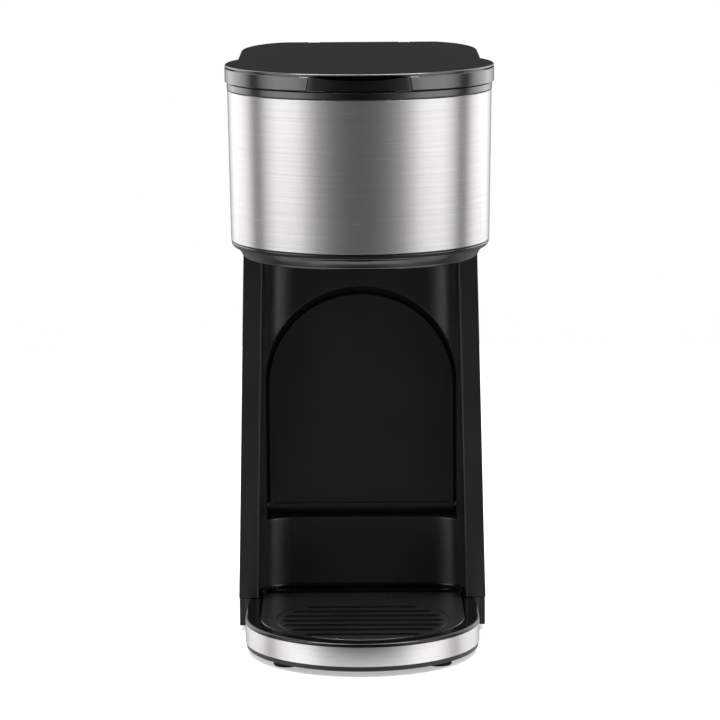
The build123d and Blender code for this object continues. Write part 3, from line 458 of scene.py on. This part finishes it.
def makeUnderside():
    d = underside
    bm = bmesh.new()
    e = d["ringEdge"]
    mouth = d["bowlR"] - d["bowlWall"]
    points = [(d["spoutHole"], d["plateTop"]), (d["ringR"] - d["plateEdge"], d["plateTop"]),
              (d["ringR"], d["plateTop"] - d["plateEdge"])]
    for a in range(0, 91, 10):
        points.append((d["ringR"] - e + e * cos(radians(a)), d["ringLow"] + e - e * sin(radians(a))))
    points += d["bowlLip"]
    points += [(mouth + d["bowlEdge"], d["bowlLow"]), (mouth, d["bowlLow"] + d["bowlEdge"]), (mouth, d["ringLow"]),
               (d["spoutHole"], d["ringLow"]), (d["spoutHole"], d["plateTop"])]
    turnProfile(bm, points, d["steps"])
    finishPiece(bm, "drumUnderside", "glossBlack", "housing", "head_underside", smooth=40)


# lid: round over the drum, a small hollow waist on each side, and wide rounded corners at the rear;
# a notch in front takes the grip, and a groove runs under the top plate
lid = {
    "r": 68.2, "half": 62.4, "rear": 143.5, "corner": 31.0, "stretch": 28.0, "waist": 5.0,
    "low": 295.6, "high": 304.5, "wall": 2.5, "foot": 0.35, "edge": 0.9, "rim": 0.5, "chamfer": 0.12,
    "bandLevels": [296.6, 297.8, 299.0, 300.2, 301.4, 302.3],       # cuts that let the rear follow the hinge
    "groove": 0.75, "grooveDepth": 4.0, "plate": 1.0, "plateFoot": 0.1,
    "hingeY": 139.0, "hingeZ": 300.0, "hingeR": 4.55, "lugIn": 21.7, "lugOut": 27.3, "lugFront": 133.5,
    "hollowRear": 132.5, "notchHold": 1.0,
    "notchSteps": 14, "roundSteps": 44, "waistSteps": 8, "sideSteps": 8, "cornerSteps": 32,
}

# grip: a slightly dished face whose top edge is scooped in the shape of a lens
grip = {
    "foot": 26.4, "head": 25.2, "back": -61.2, "gap": 0.42, "dish": 1.7,
    "scoopHalf": 23.0, "scoop": 1.55, "scoopEnd": 0.15, "scoopLean": 0.93,
    "lift": 0.1, "headGap": 0.05, "tuck": 0.1, "sink": 0.1, "footEdge": 0.25, "steps": 48,
}


def gripHalf(z):
    top = lid["high"] - lid["plate"] - lid["groove"]
    return grip["foot"] + (grip["head"] - grip["foot"]) * (z - lid["low"]) / (top - lid["low"])


def onCircle(r, angle):
    # a point of the drum's circle, by its angle from straight in front
    return (r * sin(angle), -r * cos(angle))


def lidPath(inset, z, notched, back):
    # the right half of the lid's outline, from the front centre to the rear centre
    d = lid
    r, half, rear = d["r"] - inset, d["half"] - inset, d["rear"] - inset
    across = d["corner"] - inset
    run = across + d["stretch"]
    w = d["waist"]
    waistY = sqrt((r + w) ** 2 - (half + w) ** 2)
    grown = max(inset - d["notchHold"], 0.0)
    g = gripHalf(z) + grown
    gripAngle = atan2(g, sqrt(r * r - g * g))
    steps = d["notchSteps"]
    if notched:
        path = [(g * i / steps, grip["back"] + grown) for i in range(steps + 1)]
    else:
        path = [onCircle(r, gripAngle * i / steps) for i in range(steps + 1)]
    path.append(onCircle(r, gripAngle))
    end = atan2(half + w, -waistY)
    for i in range(1, d["roundSteps"] + 1):
        path.append(onCircle(r, gripAngle + (end - gripAngle) * i / d["roundSteps"]))
    turn = atan2(waistY, half + w)
    for i in range(1, d["waistSteps"] + 1):
        b = pi + turn * (1 - i / d["waistSteps"])
        path.append((half + w + w * cos(b), waistY + w * sin(b)))
    start = rear - run
    for i in range(1, d["sideSteps"] + 1):
        path.append((half, waistY + (start - waistY) * i / d["sideSteps"]))
    for i in range(1, d["cornerSteps"] + 1):
        c = pi / 2 * i / d["cornerSteps"]
        path.append((half - across + across * cos(c), start + run * sin(c)))
    front = min(d["lugFront"], back)
    path += [(d["lugOut"], rear), (d["lugOut"], front), (d["lugIn"], front), (d["lugIn"], rear), (0.0, rear)]
    return [(x, min(y, back)) for x, y in path]


def hingeReach(z):
    # how far back the lid goes at this height without touching the deck as it turns
    return lid["hingeY"] + sqrt(max(lid["hingeR"] ** 2 - (z - lid["hingeZ"]) ** 2, 0.0))


def lidRing(z, inset, notched, back):
    right = [(x, y, z) for x, y in lidPath(inset, z, notched, back)]
    return right + [(-x, y, z) for x, y, z in reversed(right) if x > 0.0001]


def makeLid():
    d = lid
    bm = bmesh.new()
    plateLow = d["high"] - d["plate"]
    grooveLow = plateLow - d["groove"]
    band = [(d["low"], d["foot"]), (d["low"] + d["chamfer"], d["chamfer"]), (d["low"] + d["foot"], 0.0)]
    band += [(z, 0.0) for z in d["bandLevels"]]
    band += [(grooveLow - d["chamfer"], 0.0), (grooveLow, d["chamfer"])]
    plate = [(grooveLow, d["chamfer"]), (grooveLow, d["grooveDepth"]), (plateLow, d["grooveDepth"]),
             (plateLow, d["plateFoot"]), (plateLow + d["plateFoot"], 0.0), (d["high"] - d["edge"], 0.0)]
    for a in range(10, 91, 10):
        plate.append((d["high"] - d["edge"] * (1 - sin(radians(a))), d["edge"] * (1 - cos(radians(a)))))
    plate.append((d["high"], d["edge"] + d["rim"]))
    rings = [lidRing(z, inset, True, hingeReach(z)) for z, inset in band]
    rings += [lidRing(z, inset, False, hingeReach(z)) for z, inset in plate]
    extrudeRings(bm, rings)
    hollow = [lidRing(d["low"], d["foot"], True, hingeReach(d["low"])),
              lidRing(d["low"], d["wall"], True, d["hollowRear"]),
              lidRing(d["high"] - d["wall"], d["wall"], True, d["hollowRear"])]
    extrudeRings(bm, hollow)
    finishPiece(bm, "lidCover", "lidBlack", "lid", "lid_cover", smooth=28, merge=0.002)


def gripSpot(share, z, inward):
    # a point of the dished face, which nowhere stands out past the lid's own round
    sag = lid["r"] - sqrt(lid["r"] ** 2 - grip["head"] ** 2) - grip["dish"]
    faceR = (grip["head"] ** 2 + sag * sag) / (2 * sag)
    x = share * (gripHalf(z) - grip["gap"])
    face = faceR - lid["r"] + grip["dish"] - sqrt(faceR ** 2 - x * x)
    face = max(face, -sqrt((lid["r"] - grip["sink"]) ** 2 - x * x))
    return (x, face + inward, z)


def makeGrip():
    d = grip
    bm = bmesh.new()
    low = lid["low"] + d["lift"]
    high = lid["high"] - lid["plate"] - lid["groove"] - d["headGap"]
    back = d["back"] - d["tuck"]
    sections = []
    for i in range(d["steps"] + 1):
        share = -1 + 2 * i / d["steps"]
        x = share * d["head"]
        scoop = d["scoopEnd"] + d["scoop"] * max(1 - (x / d["scoopHalf"]) ** 2, 0.0)
        sections.append([
            (share * (d["foot"] - d["gap"]), back, low),
            gripSpot(share, low, d["footEdge"]),
            gripSpot(share, low + d["footEdge"], 0.0),
            gripSpot(share, high - scoop, 0.0),
            gripSpot(share, high - scoop * 0.5, scoop * 0.5 * d["scoopLean"]),
            gripSpot(share, high, scoop * d["scoopLean"]),
            (share * (d["head"] - d["gap"]), back, high),
        ])
    extrudeRings(bm, sections, capFirst=True)
    finishPiece(bm, "lidGrip", "lidBlack", "lid", "lid_grip", smooth=40, merge=0.002)


# where the edges lie that get a round of their own, in mm about the drum's axis, and how near counts as on them
roundPlaces = {
    "wingY": 40.0, "recessFoot": 54.9, "recessHead": 50.7, "recessLow": 19.9, "recessHigh": 206.6,
    "sideFoot": 65.3, "sideKnee": 61.1, "sideLow": 17.9, "kneeZ": 200.0,
    "archR": 50.6, "archZ": 130.4, "archFloor": 56.2, "archRear": 70.0,
    "rimZ": 17.5, "wellHalf": 53.6, "wellFront": 38.0, "wellRear": 56.5, "ledgeZ": 18.0,
    "deckR": 67.2, "deckFront": 20.0,
    "near": 0.05, "nearSlope": 0.3, "nearRound": 0.08, "nearLevel": 0.02, "nearLedge": 0.03, "past": 0.1,
}


def onWing(x, y, z, half):
    e = roundPlaces
    return abs(y - e["wingY"]) < e["near"] and abs(abs(x) - half) < e["nearSlope"] and z < e["recessHigh"] + e["past"]


def onWingInner(x, y, z):
    e = roundPlaces
    rise = (z - e["recessLow"]) / (e["recessHigh"] - e["recessLow"])
    return onWing(x, y, z, e["recessFoot"] + (e["recessHead"] - e["recessFoot"]) * rise)


def onWingOuter(x, y, z):
    e = roundPlaces
    rise = min((z - e["sideLow"]) / (e["kneeZ"] - e["sideLow"]), 1.0)
    return onWing(x, y, z, e["sideFoot"] + (e["sideKnee"] - e["sideFoot"]) * rise)


def onArch(x, y, z):
    e = roundPlaces
    if z < e["archZ"]:
        away = min(abs(abs(x) - e["archR"]), abs(z - e["archFloor"]))
    else:
        away = abs(sqrt(x * x + (z - e["archZ"]) ** 2) - e["archR"])
    return away < e["nearRound"] and y < e["archRear"] and z > e["archFloor"] - e["past"]


def onWellEdge(x, y, z):
    e = roundPlaces
    if y < 0:
        away = abs(sqrt(x * x + y * y) - e["wellHalf"])
    else:
        away = abs(abs(x) - e["wellHalf"])
    return away < e["nearRound"] and abs(z - e["rimZ"]) < e["nearLevel"] and y < e["wellFront"]


def onLedge(x, y, z):
    e = roundPlaces
    return abs(y - e["wellRear"]) < e["near"] and abs(z - e["ledgeZ"]) < e["nearLedge"]


def onDeckRim(x, y, z):
    e = roundPlaces
    return y < e["deckFront"] and abs(sqrt(x * x + y * y) - e["deckR"]) < e["near"]


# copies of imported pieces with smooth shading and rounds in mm: finish, body, slot, rounds
smoothCopies = {
    "column_shell": ("columnBlack", "housing", "matte_black", [(onWingInner, 1.4), (onWingOuter, 0.8)]),
    "front_panel": ("panelBlack", "housing", "matte_black", [(onArch, 0.7)]),
    "cup_rest": ("panelBlack", "cup_rest", "matte_black", []),
    "base_shell": ("baseBlack", "housing", "gloss_black", [(onWellEdge, 0.4), (onLedge, 1.2)]),
    "trim_band": ("bandSteel", "housing", "steel", []),
    "drip_grate": ("trayBlack", "drip_grate", "tray_black", []),
    "drip_tray": ("wellBlack", "drip_tray", "tray_black", []),
    "top_deck": ("glossBlack", "housing", "gloss_black", [(onDeckRim, 0.35)]),
}
copying = {"merge": 0.004, "flat": 0.3, "corner": 20.0, "segments": 3, "smooth": 32.0}


def roundEdges(bm, picks, offset):
    picked = []
    for edge in bm.edges:
        ends = [v.co * 1000 - Vector((0.0, drumY, 0.0)) for v in edge.verts]
        if edge.calc_face_angle(0.0) > radians(copying["corner"]) and all(picks(*end) for end in ends):
            picked.append(edge)
    bmesh.ops.bevel(bm, geom=picked, offset=offset * mm, offset_type="OFFSET", segments=copying["segments"],
                    profile=0.5, affect="EDGES", material=-1, clamp_overlap=True)


def smoothCopy(node):
    finish, body, slotName, rounds = smoothCopies[node]
    bm = bmesh.new()
    bm.from_mesh(nodes[node].data)
    bmesh.ops.remove_doubles(bm, verts=bm.verts, dist=copying["merge"] * mm)
    bmesh.ops.dissolve_limit(bm, angle_limit=radians(copying["flat"]), verts=bm.verts, edges=bm.edges)
    for picks, offset in rounds:
        roundEdges(bm, picks, offset)
    piece = addPiece(bm, node + ".dressed", finish, body, copying["smooth"])
    even = piece.modifiers.new("even", "WEIGHTED_NORMAL")
    even.keep_sharp = True
    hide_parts(node)


dressNodes()
makeCamera()
makeSky()
makeOverhead()
makeFloor()
print("camera and studio set up")
makeSteelWrap()
makeUnderside()
print("drum made")
makeLid()
makeGrip()
print("lid made")
for node in smoothCopies:
    smoothCopy(node)
print("smooth copies made,", len(smoothCopies))
